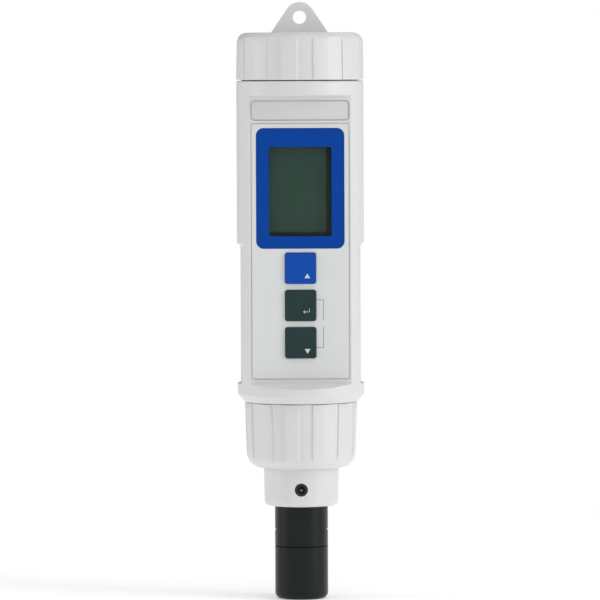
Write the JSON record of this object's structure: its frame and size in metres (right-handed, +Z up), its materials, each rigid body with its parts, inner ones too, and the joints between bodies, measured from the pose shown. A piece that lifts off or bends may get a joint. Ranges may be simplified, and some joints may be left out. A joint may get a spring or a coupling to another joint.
{
  "type": "dissolved oxygen pen",
  "caption": "Upright pen meter with a fluted battery cap and hanging eye, a flat front with display and keys, and a fluted nut that holds a black screw-tipped probe.",
  "frame": {"origin": "middle of the lower face of the probe tip", "axes": "+Z up the pen's axis towards the hanging eye, -Y out of the display"},
  "size_m": [0.0406, 0.0406, 0.19],
  "materials": {
    "white_plastic": "fine satin injection moulding",
    "face_film": "matt printed film",
    "bezel_blue": "blue printed film, satin",
    "window_clear": "clear acrylic window",
    "plate_pale": "matt printed film",
    "key_blue": "satin moulded key",
    "key_dark": "satin moulded key",
    "lcd_glass": "grey-green display, off",
    "plated_pins": "gold-plated brass",
    "spring_strip": "nickel-plated spring strip",
    "board_green": "solder-masked glass-fibre board",
    "chip_black": "moulded chip package",
    "can_metal": "drawn metal can",
    "screw_steel": "zinc-plated steel",
    "chassis_grey": "natural moulded plastic",
    "cell_jacket": "printed metal jacket, plain",
    "socket_black": "black moulded plastic",
    "seal_rubber": "nitrile rubber",
    "bush_black": "black rubber bush",
    "tip_steel": "stainless steel, polished end",
    "probe_black": "satin black moulding",
    "rod_resin": "cast epoxy resin",
    "cathode_gold": "polished gold face",
    "anode_silver": "silver tube",
    "membrane_film": "thin translucent film",
    "ring_white": "white moulded ring"
  },
  "bodies": {
    "housing": {"main_housing": "white_plastic", "faceplate": "face_film", "display_bezel": "bezel_blue", "display_window": "window_clear", "blank_plate": "plate_pale", "key_domes": "spring_strip", "lcd_panel": "lcd_glass", "lcd_pins": "plated_pins", "main_board": "board_green", "microcontroller": "chip_black", "board_components": "can_metal", "board_screws": "screw_steel", "chassis": "chassis_grey", "chassis_screws": "screw_steel", "battery_cell_1": "cell_jacket", "battery_cell_2": "cell_jacket", "battery_cell_3": "cell_jacket", "battery_cell_4": "cell_jacket", "cell_bridge": "spring_strip", "terminal_contacts": "spring_strip", "socket_block": "socket_black", "cap_seal": "seal_rubber"},
    "power_key": {"power_key": "key_blue"},
    "hold_key": {"hold_key": "key_dark"},
    "record_key": {"record_key": "key_dark"},
    "contact_carrier": {"contact_carrier": "socket_black", "contact_strips": "spring_strip"},
    "battery_cap": {"battery_cap": "white_plastic", "snap_ring": "screw_steel"},
    "probe_head": {"probe_collar": "white_plastic", "plug_seal": "seal_rubber", "pin_block": "socket_black", "connector_pins": "plated_pins", "head_board": "board_green", "temperature_bush": "bush_black", "temperature_tip": "tip_steel", "probe_shaft": "probe_black", "electrode_rod": "rod_resin", "cathode": "cathode_gold", "anode": "anode_silver", "tip_seal": "seal_rubber"},
    "coupling_nut": {"coupling_nut": "white_plastic"},
    "membrane_seat": {"membrane": "membrane_film", "membrane_ring": "ring_white"},
    "membrane_cap": {"membrane_cap": "probe_black"}
  },
  "joints": [
    {"name": "power_key_press", "type": "slide", "parent": "housing", "child": "power_key", "axis": [0, 1, 0], "range_m": [0, 0.0006], "stiffness_N_per_m": 2500},
    {"name": "hold_key_press", "type": "slide", "parent": "housing", "child": "hold_key", "axis": [0, 1, 0], "range_m": [0, 0.0006], "stiffness_N_per_m": 2500},
    {"name": "record_key_press", "type": "slide", "parent": "housing", "child": "record_key", "axis": [0, 1, 0], "range_m": [0, 0.0006], "stiffness_N_per_m": 2500},
    {"name": "carrier_lift", "type": "slide", "parent": "housing", "child": "contact_carrier", "axis": [0, 0, 1], "range_m": [0, 0.00451]},
    {"name": "cap_turn", "type": "hinge", "parent": "contact_carrier", "child": "battery_cap", "pos_m": [0, 0, 0.17], "axis": [0, 0, 1], "range_deg": [0, 540]},
    {"name": "head_drop", "type": "slide", "parent": "housing", "child": "probe_head", "axis": [0, 0, -1], "range_m": [0, 0.00751]},
    {"name": "nut_turn", "type": "hinge", "parent": "probe_head", "child": "coupling_nut", "pos_m": [0, 0, 0.05], "axis": [0, 0, -1], "range_deg": [0, 900]},
    {"name": "seat_drop", "type": "slide", "parent": "probe_head", "child": "membrane_seat", "axis": [0, 0, -1], "range_m": [0, 0.00401]},
    {"name": "tip_turn", "type": "hinge", "parent": "membrane_seat", "child": "membrane_cap", "pos_m": [0, 0, 0.008], "axis": [0, 0, -1], "range_deg": [0, 1440]}
  ],
  "couplings": [
    {"joint": "carrier_lift", "follows": "cap_turn", "m_per_rad": 0.00047746},
    {"joint": "head_drop", "follows": "nut_turn", "m_per_rad": 0.00047746},
    {"joint": "seat_drop", "follows": "tip_turn", "m_per_rad": 0.00015915}
  ]
}
